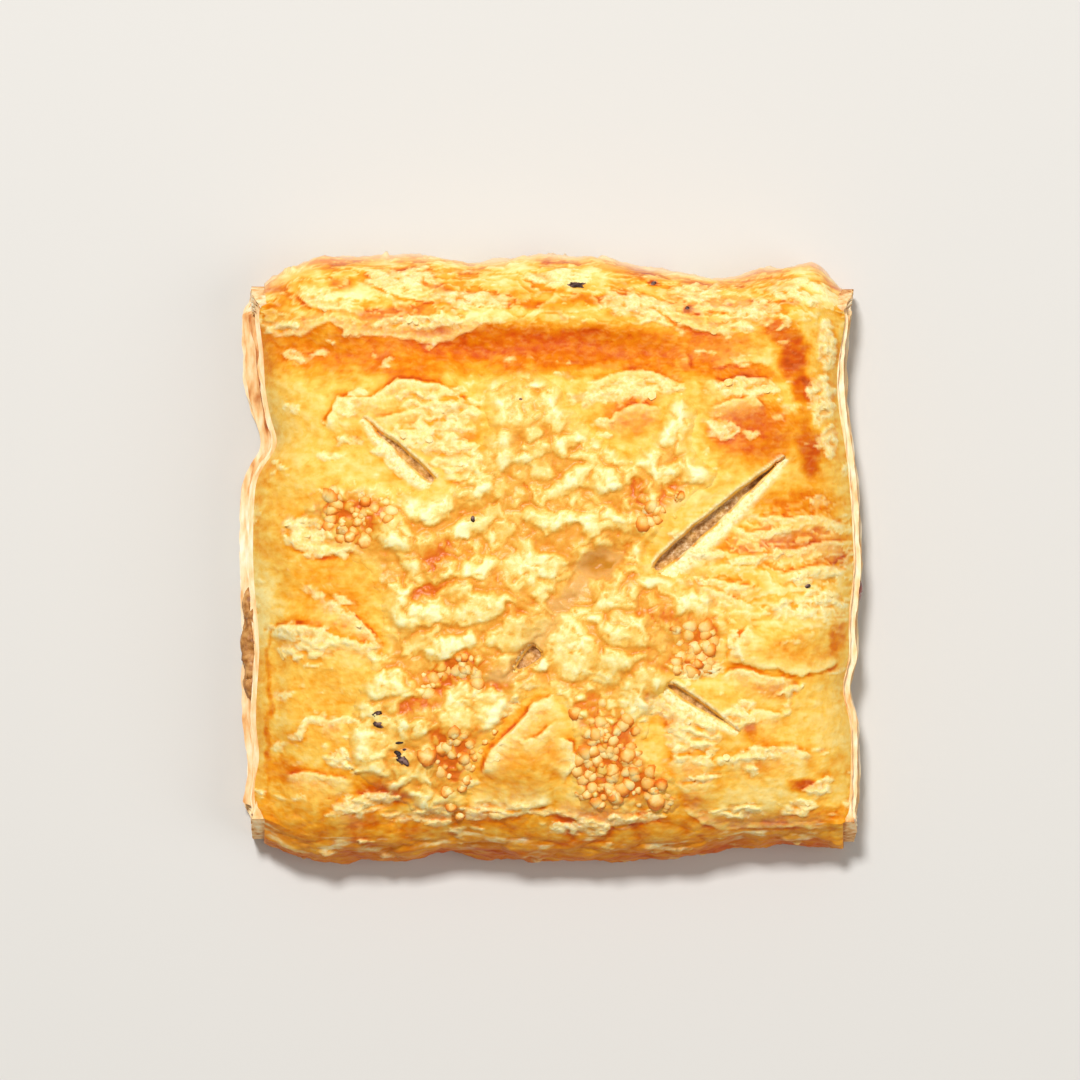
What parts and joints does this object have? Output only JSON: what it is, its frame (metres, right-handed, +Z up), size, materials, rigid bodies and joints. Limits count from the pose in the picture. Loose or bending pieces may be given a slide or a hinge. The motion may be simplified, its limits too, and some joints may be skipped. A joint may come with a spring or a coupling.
{
  "type": "turnover pastry",
  "caption": "Square savoury puff-pastry turnover, folded along two sides and open in layers at the cut ends, slashed with a cross and baked under melted cheese.",
  "frame": {"origin": "centre of the bounding box's bottom, on the surface that the pastry lies on", "axes": "+X from one cut end to the other, +Y from the front fold to the back fold, +Z up"},
  "size_m": [0.1152, 0.1116, 0.0287],
  "materials": {
    "crust": "baked egg-glazed puff pastry, satin where it is brown, matt and floury where it is torn",
    "filling": "moist cooked filling",
    "cheese": "oily melted cheese, browned between its lumps"
  },
  "bodies": {
    "root": {"pastry_crust": "crust", "filling": "filling", "melted_cheese": "cheese"}
  },
  "joints": []
}
